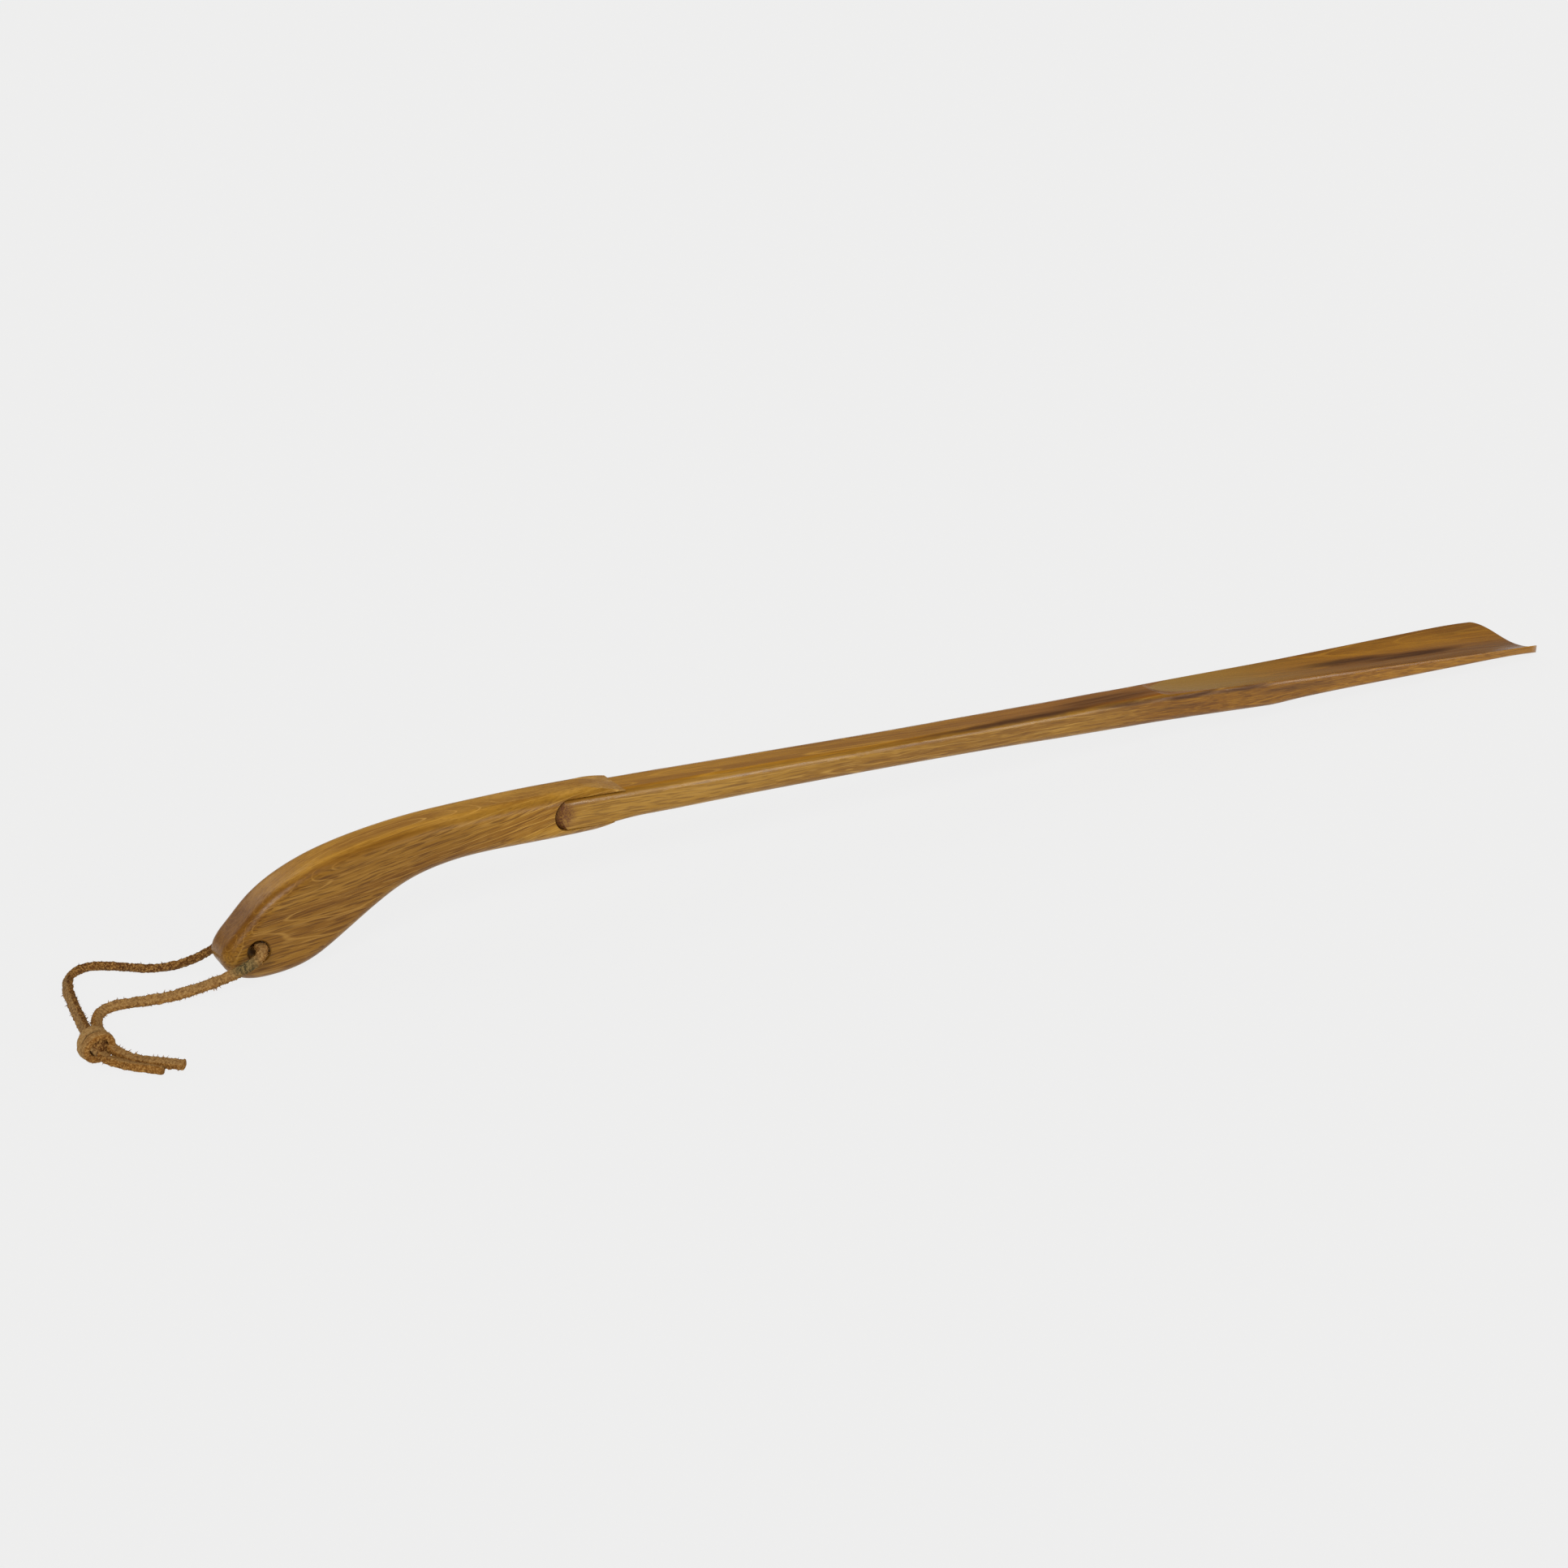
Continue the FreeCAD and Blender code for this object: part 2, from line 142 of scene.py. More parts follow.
# ---- lace: geometry -----------------------------------------------------------------------------
RING_STEP = 0.00035
SECTION_POINTS = 28
SQUARENESS = 3.6             # exponent of the section's superellipse: 2 is round, more is squarer
RAGGED = 0.00034             # how far the suede's surface wanders, and where it is pulled tight in the knot
RAGGED_KNOT = 0.00016
RAGGED_WAVES = [(0.40, 0.5), (1.1, 0.6), (2.6, 0.6)]    # frequency per millimetre and share of each wander
RAGGED_SHIFT = (7.3, 3.1, 0.0)    # millimetres between one piece's wander and the next one's
SKIN_SIDE = 0.8              # points past this share of half the thickness are on the smooth skin side
TUFT_GAP = 0.00028           # one tuft of fibres for each such length along the lace
TUFT_LENGTH = (0.0004, 0.0012)
TUFT_RADIUS = 0.00028
TUFT_RADIUS_SHARE = (0.6, 1.2)
TUFT_ACROSS = (0.86, 1.0)    # how far out across the lace a tuft grows, as a share of half its width
TUFT_ROOT = (0.47, 0.44)     # the roots' depth inside the lace, as shares of its width and its thickness
TUFT_LEAN = (1.2, 0.8, 0.9)  # how much a tuft leans across the lace, through it and, at most, along it
TUFT_CORNERS = (0.0, 2.1, 4.2)    # radians round the tuft's foot
LIES_AT = 0.00005            # nothing of the lace goes below this height


def unit(v):
    return v / max(float(np.linalg.norm(v)), 1e-12)


def frames_along(line, first_side, twist):
    """Two directions across the line at each point, carried along without spin and then twisted.

    twist is a list of (share of the length, degrees)."""
    tangents = np.gradient(line, axis=0)
    tangents /= np.linalg.norm(tangents, axis=1)[:, None]
    side = np.array(first_side, float)
    sides, ups = [], []
    shares = np.linspace(0.0, 1.0, len(line))
    angles = np.radians(np.interp(shares, [t[0] for t in twist], [t[1] for t in twist]))
    for tangent, angle in zip(tangents, angles):
        side = unit(side - tangent * float(side @ tangent))
        up = np.cross(tangent, side)
        sides.append(side * math.cos(angle) + up * math.sin(angle))
        ups.append(up * math.cos(angle) - side * math.sin(angle))
    return np.array(sides), np.array(ups)


def section_shape():
    """The lace's section as unit offsets: a rounded rectangle, denser at its corners."""
    turns = np.linspace(0.0, 2 * math.pi, SECTION_POINTS, endpoint=False)
    c, s = np.cos(turns), np.sin(turns)
    power = 2.0 / SQUARENESS
    return np.sign(c) * np.abs(c) ** power, np.sign(s) * np.abs(s) ** power


def ragged(point, seed):
    """Uneven surface of cut suede: slow and fine wanders together, from about -1 to 1."""
    shifted = Vector(point) * 1000.0 + Vector(RAGGED_SHIFT) * seed
    return sum(share * noise.noise(shifted * frequency) for frequency, share in RAGGED_WAVES)


def ring_points(rings, sides, ups, width, thickness, roughness, seed):
    """The lace's surface points, ring by ring, and 1 for each of them that is on the skin side."""
    verts, skin = [], []
    for ring, side, up in zip(rings, sides, ups):
        for a, b in zip(*section_shape()):
            out = side * a * width / 2 + up * b * thickness / 2
            verts.append(ring + out * (1.0 + roughness / (thickness / 2) * ragged(ring + out, seed)))
            skin.append(1.0 if b > SKIN_SIDE else 0.0)
    return verts, skin


def side_faces(count, closed):
    """The faces between one ring and the next."""
    faces = []
    for i in range(count if closed else count - 1):
        here = i * SECTION_POINTS
        there = (i + 1) % count * SECTION_POINTS
        for k in range(SECTION_POINTS):
            m = (k + 1) % SECTION_POINTS
            faces.append((here + k, here + m, there + m, there + k))
    return faces


def add_ends(verts, skin, faces, rings):
    """Closes both ends of the lace with flat fans, as cut square."""
    for end in (0, len(rings) - 1):
        first = end * SECTION_POINTS
        ring = list(range(first, first + SECTION_POINTS))
        hub = len(verts)
        verts.append(rings[end])
        skin.append(0.0)
        pairs = list(zip(ring, ring[1:] + ring[:1]))
        faces += [(hub, b, a) if end == 0 else (hub, a, b) for a, b in pairs]


def add_tufts(verts, skin, faces, rings, sides, ups, width, thickness, seed, density):
    """Small tapered tufts of loose fibre that stand out of the lace's cut edges."""
    draw = random.Random(seed)
    for _ in range(int(line_length(rings) / TUFT_GAP * density)):
        i = draw.randrange(2, len(rings) - 2)
        a = draw.choice((-1.0, 1.0)) * draw.uniform(*TUFT_ACROSS)
        b = draw.uniform(-1.0, 1.0)
        root = rings[i] + sides[i] * a * width * TUFT_ROOT[0] + ups[i] * b * thickness * TUFT_ROOT[1]
        along = unit(rings[i + 1] - rings[i])
        outwards = sides[i] * a * TUFT_LEAN[0] + ups[i] * b * TUFT_LEAN[1]
        lean = unit(outwards + along * draw.uniform(-TUFT_LEAN[2], TUFT_LEAN[2]))
        length = draw.uniform(*TUFT_LENGTH)
        radius = TUFT_RADIUS * draw.uniform(*TUFT_RADIUS_SHARE)
        cross = unit(np.cross(lean, along + 0.01))    # never along the lean, which may be along the lace
        other = np.cross(lean, cross)
        base = len(verts)
        for turn in TUFT_CORNERS:
            verts.append(root - lean * radius + (cross * math.cos(turn) + other * math.sin(turn)) * radius)
        verts.append(root + lean * length)
        skin.extend([0.0] * 4)
        faces += [(base, base + 1, base + 3), (base + 1, base + 2, base + 3), (base + 2, base, base + 3),
                  (base, base + 2, base + 1)]


def lace_mesh(name, line, side, twist, seed, closed=False, width=LACE_WIDTH, thickness=LACE_THICKNESS,
              tufts=1.0, roughness=RAGGED):
    """A suede lace along line, with a ragged surface, fibre tufts on its edges and square-cut ends."""
    rings = line[:-1] if closed else line
    sides, ups = frames_along(rings, side, twist)
    verts, skin = ring_points(rings, sides, ups, width, thickness, roughness, seed)
    faces = side_faces(len(rings), closed)
    if not closed:
        add_ends(verts, skin, faces, rings)
    body_count = len(faces)
    add_tufts(verts, skin, faces, rings, sides, ups, width, thickness, seed, tufts)
    mesh = bpy.data.meshes.new(name)
    mesh.from_pydata([(x, y, max(z, LIES_AT)) for x, y, z in verts], [], faces)
    mesh.polygons.foreach_set("use_smooth", [True] * body_count + [False] * (len(faces) - body_count))
    mark = mesh.attributes.new("skin_side", "FLOAT", "POINT")
    mark.data.foreach_set("value", skin)
    mesh.update()
    piece = bpy.data.objects.new(name, mesh)
    bpy.context.scene.collection.objects.link(piece)
    return piece


def make_strand(name, points, side, twist, seed):
    line = route_line(points, RING_STEP)
    return lace_mesh(name, line, side, [(0.0, twist[0]), (1.0, twist[1])], seed), line


FORWARD = (1.0, 0.0, 0.0)    # the way a strand's width points where it starts, in the bore and in the knot
SLANTED = (0.7, 0.7, 0.0)
front, front_line = make_strand("lace_front", LACE_FRONT, FORWARD, (0.0, 0.0), 1)
back, back_line = make_strand("lace_back", LACE_BACK, FORWARD, (180.0, 200.0), 2)
tail_long, _ = make_strand("lace_end_long", TAIL_LONG, SLANTED, (0.0, 20.0), 3)
tail_short, _ = make_strand("lace_end_short", TAIL_SHORT, SLANTED, (0.0, -20.0), 4)

# ---- lace: knot ---------------------------------------------------------------------------------
KNOT_CENTRE = Vector((-0.3795, -0.0325, 0.0056))
KNOT_AXIS = Vector((0.25, -0.96, 0.04)).normalized()    # the way the two tails leave through the wraps
WRAPS = [                    # offset along the axis, radius, lean in degrees, skin side out
    (-0.0019, 0.0045, (0.0, 0.0), True),
    (0.0010, 0.0042, (9.0, -7.0), False)]
WRAP_WIDTH = 0.0030
WRAP_THICKNESS = 0.0024
WRAP_WOBBLE = 0.04           # share of its radius by which a wrap is out of round
WRAP_PHASE = 900.0           # radians per metre of offset, so that the wraps bulge in different places
WRAP_TUFTS = 0.35
CORE_WIDTH = 0.0062
CORE_THICKNESS = 0.0058
CORE_REACH = 0.0020
CORE_TUFTS = 0.2


def wrap_line(offset, radius, lean):
    """One wrap of the knot: a closed ring round the knot's axis, leaned and slightly out of true."""
    tilt = Matrix.Rotation(math.radians(lean[0]), 3, "X") @ Matrix.Rotation(math.radians(lean[1]), 3, "Z")
    axis = tilt @ KNOT_AXIS
    first = axis.orthogonal().normalized()
    second = axis.cross(first)
    points = []
    steps = max(24, round(2 * math.pi * radius / RING_STEP))
    for i in range(steps + 1):
        t = 2 * math.pi * i / steps
        r = radius * (1.0 + WRAP_WOBBLE * math.cos(2 * t + offset * WRAP_PHASE))
        points.append(KNOT_CENTRE + axis * offset + first * (r * math.cos(t)) + second * (r * math.sin(t)))
    return np.array(points), np.array(axis)


def make_knot():
    """Two flat wraps of the lace round a core, which is the part of the lace that they hide."""
    pieces = []
    for index, (offset, radius, lean, _) in enumerate(WRAPS):
        line, axis = wrap_line(offset, radius, lean)
        pieces.append(lace_mesh("wrap_%d" % index, line, axis, [(0.0, 0.0), (1.0, 0.0)], 11 + index,
                                closed=True, width=WRAP_WIDTH, thickness=WRAP_THICKNESS, tufts=WRAP_TUFTS,
                                roughness=RAGGED_KNOT))
    reach = KNOT_AXIS * CORE_REACH
    line = evenly(np.array([KNOT_CENTRE - reach, KNOT_CENTRE, KNOT_CENTRE + reach]), RING_STEP)
    pieces.append(lace_mesh("core", line, (0.0, 0.0, 1.0), [(0.0, 0.0), (1.0, 30.0)], 15,
                            width=CORE_WIDTH, thickness=CORE_THICKNESS, tufts=CORE_TUFTS))
    return pieces


def join(name, pieces):
    """One object of several meshes."""
    with bpy.context.temp_override(active_object=pieces[0], selected_editable_objects=pieces):
        bpy.ops.object.join()
    pieces[0].name = name
    pieces[0].data.name = name
    return pieces[0]


knot_pieces = make_knot()

# ---- material graphs ----------------------------------------------------------------------------
class Graph:
    """A material's node tree, with short calls for the nodes that the materials below use."""

    def __init__(self, name):
        self.material = bpy.data.materials.new(name)
        self.material.use_nodes = True
        self.tree = self.material.node_tree
        self.tree.nodes.clear()
        self.shader = self.add("ShaderNodeBsdfPrincipled")
        output = self.add("ShaderNodeOutputMaterial")
        self.tree.links.new(self.shader.outputs["BSDF"], output.inputs["Surface"])

    def add(self, kind, **settings):
        node = self.tree.nodes.new(kind)
        for key, value in settings.items():
            setattr(node, key, value)
        return node

    def put(self, socket, value):
        """Links value to a socket, or sets it if it's a plain number, colour or vector."""
        if isinstance(value, bpy.types.NodeSocket):
            self.tree.links.new(value, socket)
        elif hasattr(value, "__len__") and len(value) == 3 and socket.type == "RGBA":
            socket.default_value = (*value, 1.0)
        else:
            socket.default_value = value

    def math(self, operation, a, b=0.0, c=0.0):
        node = self.add("ShaderNodeMath", operation=operation)
        for socket, value in zip(node.inputs, (a, b, c)):
            self.put(socket, value)
        return node.outputs[0]

    def vector(self, operation, a, b=(0.0, 0.0, 0.0), result="Vector"):
        node = self.add("ShaderNodeVectorMath", operation=operation)
        self.put(node.inputs[0], a)
        self.put(node.inputs[1], b)
        return node.outputs[result]

    def coordinates(self):
        """The place on the object, in millimetres."""
        place = self.add("ShaderNodeTexCoord").outputs["Object"]
        return self.vector("MULTIPLY", place, (1000.0, 1000.0, 1000.0))

    def turned(self, place, angle, shift=(0.0, 0.0, 0.0)):
        """Coordinates whose X follows a line that rises by angle, in radians, towards +Z."""
        node = self.add("ShaderNodeMapping", vector_type="POINT")
        self.put(node.inputs["Vector"], place)
        self.put(node.inputs["Rotation"], (0.0, angle, 0.0))
        self.put(node.inputs["Location"], shift)
        return node.outputs["Vector"]

    def noise(self, place, scales, detail=2.0, roughness=0.5, shift=0.0, result="Fac"):
        """Noise with its own frequency, per millimetre, along each axis."""
        node = self.add("ShaderNodeTexNoise")
        stretched = self.vector("MULTIPLY", place, scales)
        self.put(node.inputs["Vector"], self.vector("ADD", stretched, (shift, shift * 1.7, shift * 0.6)))
        self.put(node.inputs["Scale"], 1.0)
        self.put(node.inputs["Detail"], detail)
        self.put(node.inputs["Roughness"], roughness)
        return node.outputs[result]

    def span(self, value, low, high, out_low=0.0, out_high=1.0):
        """value from low to high becomes out_low to out_high, smoothly and no further."""
        node = self.add("ShaderNodeMapRange", interpolation_type="SMOOTHSTEP")
        for socket, number in zip(node.inputs, (value, low, high, out_low, out_high)):
            self.put(socket, number)
        return node.outputs["Result"]

    def blend(self, a, b, share, mode="MIX"):
        node = self.add("ShaderNodeMix", data_type="RGBA", blend_type=mode)
        self.put(node.inputs["Factor"], share)
        self.put(node.inputs[6], a)
        self.put(node.inputs[7], b)
        return node.outputs[2]

    def patch(self, place, centre, reach, strength=1.0, fray=0.0, edge=0.25):
        """strength at centre, in millimetres, falling from the share edge of reach to 0 at reach itself."""
        if fray:
            wander = self.noise(place, (0.08, 0.5, 0.5), detail=3.0, shift=3.0, result="Color")
            wander = self.vector("SUBTRACT", wander, (0.5, 0.5, 0.5))
            place = self.vector("ADD", place, self.vector("MULTIPLY", wander, (fray * 6, fray, fray)))
        away = self.vector("SUBTRACT", place, centre)
        away = self.vector("DIVIDE", away, reach)
        far = self.vector("LENGTH", away, result="Value")
        return self.span(far, edge, 1.0, strength, 0.0)


def surface(graph, colour, roughness, height, bump_distance, bump_strength=1.0):
    """Gives the shader its colour, its roughness and its relief."""
    graph.put(graph.shader.inputs["Base Color"], colour)
    graph.put(graph.shader.inputs["Roughness"], roughness)
    bump = graph.add("ShaderNodeBump")
    bump.inputs["Distance"].default_value = bump_distance
    bump.inputs["Strength"].default_value = bump_strength
    graph.put(bump.inputs["Height"], height)
    graph.put(graph.shader.inputs["Normal"], bump.outputs["Normal"])


# ---- oiled oak ----------------------------------------------------------------------------------
OAK_GOLD = (0.325, 0.159, 0.0200)
OAK_PALE = (0.450, 0.245, 0.0550)
OAK_BROWN = (0.232, 0.101, 0.0115)
OAK_DARK = (0.110, 0.040, 0.0060)
OAK_END = (0.100, 0.027, 0.0080)
OAK_DARK_PATCH = (0.058, 0.020, 0.0060)
OAK_SANDED_AND_LIT = (0.300, 0.168, 0.0300)
OAK_RELIEF = 0.00003
HANDLE_GRAIN_TILT = 0.02     # slope of the handle's grain at the butt, and half its gain per millimetre
HANDLE_GRAIN_BEND = 0.0007
SHAFT_GRAIN = math.radians(-3.3)
RIM_HEIGHT = 25.9            # the rims' height at station 390 and their slope from there
RIM_SLOPE = -0.0665
END_FADE = 4.0               # millimetres over which the dark cut ends fade out


def contours(g, grain, lines, seed):
    """Thin lines along equal values of a slow noise: the loops where growth rings meet the surface."""
    field = g.noise(grain, (0.0055, 0.085, 0.085), 0.0, 0.5, seed)
    phase = g.math("FRACT", g.math("MULTIPLY", field, lines))
    return g.math("MULTIPLY", g.span(phase, 0.84, 0.91), g.span(phase, 0.92, 1.0, 1.0, 0.0))


def oak(name, grain_of, tone_and_painted_light_of, seed, lines, dashes, shine, end_between, dark_patches=(), sanded_and_lit=None,
        stained=None):
    """Oiled oak: gold with broad brown bands, pale ring lines, fine streaks and short dark dashes.

    grain_of turns coordinates so that X follows the grain; tone_and_painted_light_of gives what the colour is
    multiplied by: the wood's tone along its length and painted light and shade by the way each face points;
    dashes is their strength; shine is the roughness of the smoothest and the roughest streaks and the
    specular level; end_between is the stretch of X where cut ends show their dark end grain; dark_patches are
    darker patches, each a centre, a reach and a strength, in millimetres, with Z counted from the blade's
    rims;
    sanded_and_lit gives the share of pale wood on upward faces, partly from sanding at the trough's start and
    partly painted light on its far wall; stained is the centre and the reach of a patch as dark as the end
    grain."""
    g = Graph(name)
    place = g.coordinates()
    wander = g.noise(place, (0.014, 0.05, 0.05), 3.0, 0.5, seed, "Color")
    wander = g.vector("SUBTRACT", wander, (0.5, 0.5, 0.5))
    grain = g.vector("ADD", grain_of(g, place), g.vector("MULTIPLY", wander, (0.0, 4.0, 4.0)))
    normal = g.add("ShaderNodeNewGeometry").outputs["Normal"]
    up = g.vector("DOT_PRODUCT", normal, (0.0, 0.0, 1.0), result="Value")
    sides = g.span(up, 0.15, 0.75, 1.0, 0.35)

    band = g.noise(grain, (0.008, 0.16, 0.16), 2.0, 0.5, seed + 11)
    streak = g.noise(grain, (0.020, 0.9, 0.9), 3.0, 0.6, seed + 17)
    fine = g.noise(grain, (0.06, 3.2, 3.2), 2.0, 0.6, seed + 23)
    dash = g.noise(grain, (0.10, 1.7, 1.7), 1.5, 0.5, seed + 29)
    fleck = g.noise(grain, (0.09, 1.9, 1.9), 1.0, 0.5, seed + 37)
    ring = contours(g, grain, lines, seed + 43)
    dash_mark = g.math("MULTIPLY", g.span(dash, 0.50, 0.62, 0.0, dashes), sides)
    fleck_mark = g.math("MULTIPLY", g.span(fleck, 0.56, 0.68, 0.0, 0.5), sides)

    colour = g.blend(OAK_GOLD, OAK_BROWN, g.span(band, 0.36, 0.66))
    colour = g.blend(colour, OAK_PALE, g.span(band, 0.42, 0.25, 0.0, 0.45))
    colour = g.blend(colour, OAK_DARK, g.span(streak, 0.52, 0.80, 0.0, 0.55))
    colour = g.blend(colour, OAK_PALE, g.span(streak, 0.46, 0.22, 0.0, 0.45))
    colour = g.blend(colour, OAK_DARK, g.span(fine, 0.55, 0.78, 0.0, 0.45))
    colour = g.blend(colour, OAK_DARK, dash_mark)
    colour = g.blend(colour, OAK_PALE, fleck_mark)
    colour = g.blend(colour, OAK_PALE, g.math("MULTIPLY", ring, g.span(streak, 0.35, 0.60, 0.25, 0.85)))
    # Painted light and shade: the colour is multiplied by a tone for the way each face points, and by the
    # wood's tone along it.
    colour = g.blend(colour, tone_and_painted_light_of(g, place, up), 1.0, mode="MULTIPLY")
    streaky = g.span(streak, 0.32, 0.56, 0.60, 1.0)
    dull = 0.0
    for centre, reach, strength in dark_patches:
        dark = g.math("MULTIPLY", g.patch(below_rim(g, place), centre, reach, strength, fray=1.6), streaky)
        colour = g.blend(colour, OAK_DARK_PATCH, dark)
        dull = g.math("MAXIMUM", dull, dark)
    if sanded_and_lit:
        # Pale wood at the trough's start: sanding there, and painted light on the far wall where it fades out
        # along the blade.
        colour = g.blend(colour, OAK_SANDED_AND_LIT, g.math("MULTIPLY", sanded_and_lit(g, place), g.span(up, 0.05, 0.25)))

    facing = g.math("ABSOLUTE", g.vector("DOT_PRODUCT", normal, (1.0, 0.0, 0.0), result="Value"))
    along = g.vector("DOT_PRODUCT", place, (1.0, 0.0, 0.0), result="Value")
    ends = g.span(along, end_between[0] - END_FADE, end_between[0])
    ends = g.math("MULTIPLY", ends, g.span(along, end_between[1], end_between[1] + END_FADE, 1.0, 0.0))
    cut_end = g.math("MULTIPLY", g.span(facing, 0.25, 0.50), ends)
    if stained:
        cut_end = g.math("MAXIMUM", cut_end, g.patch(place, *stained, strength=0.9, edge=0.45))
    speckle = g.span(g.noise(place, (1.6, 1.6, 1.6), 2.0, 0.6, seed + 41), 0.35, 0.65, 0.45, 1.0)
    colour = g.blend(colour, OAK_END, g.math("MULTIPLY", cut_end, speckle))

    height = g.math("MULTIPLY_ADD", dash_mark, -0.6, g.math("MULTIPLY", streak, 0.5))
    rough = g.span(streak, 0.35, 0.65, shine[0], shine[1])
    rough = g.math("MULTIPLY_ADD", g.math("MAXIMUM", dull, cut_end), 0.40, rough)
    surface(g, colour, rough, height, OAK_RELIEF)
    g.shader.inputs["Specular IOR Level"].default_value = shine[2]
    return g.material


def handle_tone_and_painted_light(g, place, up):
    """Painted light and shade on the handle, by the way each face points: paler upward faces and a darker
    rounded back near the butt. Its sides also turn paler towards the joint.
    """
    along = g.vector("DOT_PRODUCT", place, (1.0, 0.0, 0.0), result="Value")
    side = g.blend((0.77, 0.74, 0.65), (1.09, 1.11, 0.93), g.span(along, station(80.0), station(115.0)))
    # Painted shade on the rounded back near the butt and painted light on upward faces, matched to the studio
    # light.
    back = g.blend((0.60, 0.50, 0.28), (0.97, 0.98, 0.86), g.span(along, station(60.0), station(110.0)))
    side = g.blend(side, back, g.span(up, 0.10, 0.80))
    return g.blend(side, (1.30, 1.33, 1.25), g.span(up, 0.70, 1.0))


def shaft_tone_and_painted_light(g, place, up):
    """Painted light and shade on the stick, by the way each face points: a colour of its own on upward faces,
    darker rounded upper edges and, in the trough, a darker floor than far wall. Its top and, nearer the
    blade, its sides also turn browner along it.
    """
    along = g.vector("DOT_PRODUCT", place, (1.0, 0.0, 0.0), result="Value")
    side = g.blend((0.98, 1.00, 0.84), (0.76, 0.65, 0.22), g.span(along, station(380.0), station(425.0)))
    side = g.blend(side, (0.90, 0.79, 0.30), g.span(along, station(500.0), station(545.0)))
    # Painted light on upward faces, a colour of their own, which also turns browner along the stick.
    top = g.blend((1.14, 1.04, 0.36), (0.78, 0.55, 0.06), g.span(along, station(270.0), station(380.0)))
    across = g.vector("DOT_PRODUCT", place, (0.0, 1.0, 0.0), result="Value")
    # Painted shade in the trough: its floor darker than its far wall.
    trough = g.blend((0.62, 0.45, 0.03), (0.84, 0.68, 0.06), g.span(across, 3.0, 10.0))
    top = g.blend(top, trough, g.span(along, station(480.0), station(560.0)))
    # Painted shade on the rounded upper edges.
    side = g.blend(side, (0.80, 0.77, 0.62), g.span(up, 0.45, 0.75))
    return g.blend(side, top, g.span(up, 0.80, 0.97))


def station(mm):
    """Distance along X, in millimetres, of a station counted from the butt."""
    return BUTT * 1000.0 + mm


def handle_grain(g, place):
    """The handle's grain: level at the butt and rising more and more towards the joint."""
    along = g.math("SUBTRACT", g.vector("DOT_PRODUCT", place, (1.0, 0.0, 0.0), result="Value"), station(0.0))
    rise = g.math("MULTIPLY", g.math("MULTIPLY_ADD", along, HANDLE_GRAIN_BEND, HANDLE_GRAIN_TILT), along)
    lift = g.add("ShaderNodeCombineXYZ")
    g.put(lift.inputs["Z"], rise)
    return g.vector("SUBTRACT", place, lift.outputs["Vector"])


def shaft_grain(g, place):
    """The shaft's grain runs straight along the stick."""
    return g.turned(place, SHAFT_GRAIN)


def below_rim(g, place):
    """Coordinates whose Z is counted from the blade's two rims, which slope down along it."""
    along = g.vector("DOT_PRODUCT", place, (1.0, 0.0, 0.0), result="Value")
    along = g.math("SUBTRACT", along, station(390.0))
    lift = g.add("ShaderNodeCombineXYZ")
    g.put(lift.inputs["Z"], g.math("MULTIPLY_ADD", along, RIM_SLOPE, RIM_HEIGHT))
    return g.vector("SUBTRACT", place, lift.outputs["Vector"])


def trough_start(g, place):
    """The pale start of the trough: wood pale from sanding with a crisp blunt end, and painted light on
    the far wall, which fades out along the blade.
    """
    along = g.vector("DOT_PRODUCT", place, (1.0, 0.0, 0.0), result="Value")
    # Painted light: the pale carries on along the far wall and fades out.
    fade = g.span(along, station(440.0), station(560.0), 1.0, 0.0)
    blunt = g.patch(place, (station(490.0), 1.5, 22.0), (70.0, 12.0, 60.0), 0.85, edge=0.97)
    return g.math("MULTIPLY", fade, blunt)


# Darker patches along the blade's upper edge, its rims and its trough floor.
BLADE_DARK_PATCHES = [
    ((station(340.0), -6.6, -1.2), (78.0, 1.7, 3.0), 0.90),
    ((station(352.0), -5.4, -0.4), (40.0, 2.6, 3.0), 0.60),
    ((station(392.0), -1.5, 0.0), (46.0, 7.0, 3.0), 0.66),
    ((station(402.0), -8.3, -1.3), (26.0, 1.7, 1.6), 0.75),
    ((station(434.0), -9.7, -1.6), (30.0, 2.0, 1.6), 0.97),
    ((station(464.0), -11.3, -1.7), (26.0, 2.0, 1.6), 0.90),
    ((station(545.0), 5.8, -4.2), (44.0, 3.4, 3.0), 0.96),
    ((station(590.0), 3.4, -5.0), (46.0, 3.6, 3.0), 0.96),
    ((station(500.0), -13.0, -4.5), (50.0, 3.0, 2.0), 0.55),
    ((station(430.0), -9.0, -6.0), (30.0, 3.0, 1.6), 0.45),
    ((station(632.0), 16.0, -2.5), (26.0, 2.0, 2.0), 0.35)]
handle_wood = oak("handle_oak", handle_grain, handle_tone_and_painted_light, 0.0, 12.0, 0.66, (0.27, 0.40, 0.20),
                  (station(110.0), station(136.0)))
shaft_wood = oak("shaft_oak", shaft_grain, shaft_tone_and_painted_light, 60.0, 9.0, 0.45, (0.20, 0.36, 0.30),
                 (station(100.0), station(136.0)), BLADE_DARK_PATCHES, trough_start,
                 ((station(129.0), -8.8, 34.9), (7.5, 3.0, 6.6)))
for node, wood in (("handle", handle_wood), ("shaft_blade", shaft_wood)):
    cad_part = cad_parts[node]
    cad_part.data.materials.clear()
    cad_part.data.materials.append(wood)

# ---- suede --------------------------------------------------------------------------------------
SUEDE_TAN = (0.250, 0.108, 0.020)
SUEDE_PALE = (0.470, 0.262, 0.080)
SUEDE_BROWN = (0.075, 0.026, 0.008)
SUEDE_SKIN = (0.350, 0.230, 0.100)
SUEDE_DULL = (0.190, 0.145, 0.060)
SUEDE_WORN = (0.030, 0.027, 0.014)
SUEDE_ROUGHNESS = 0.92
SUEDE_RELIEF = 0.00030
SUEDE_GLOSS = 0.08


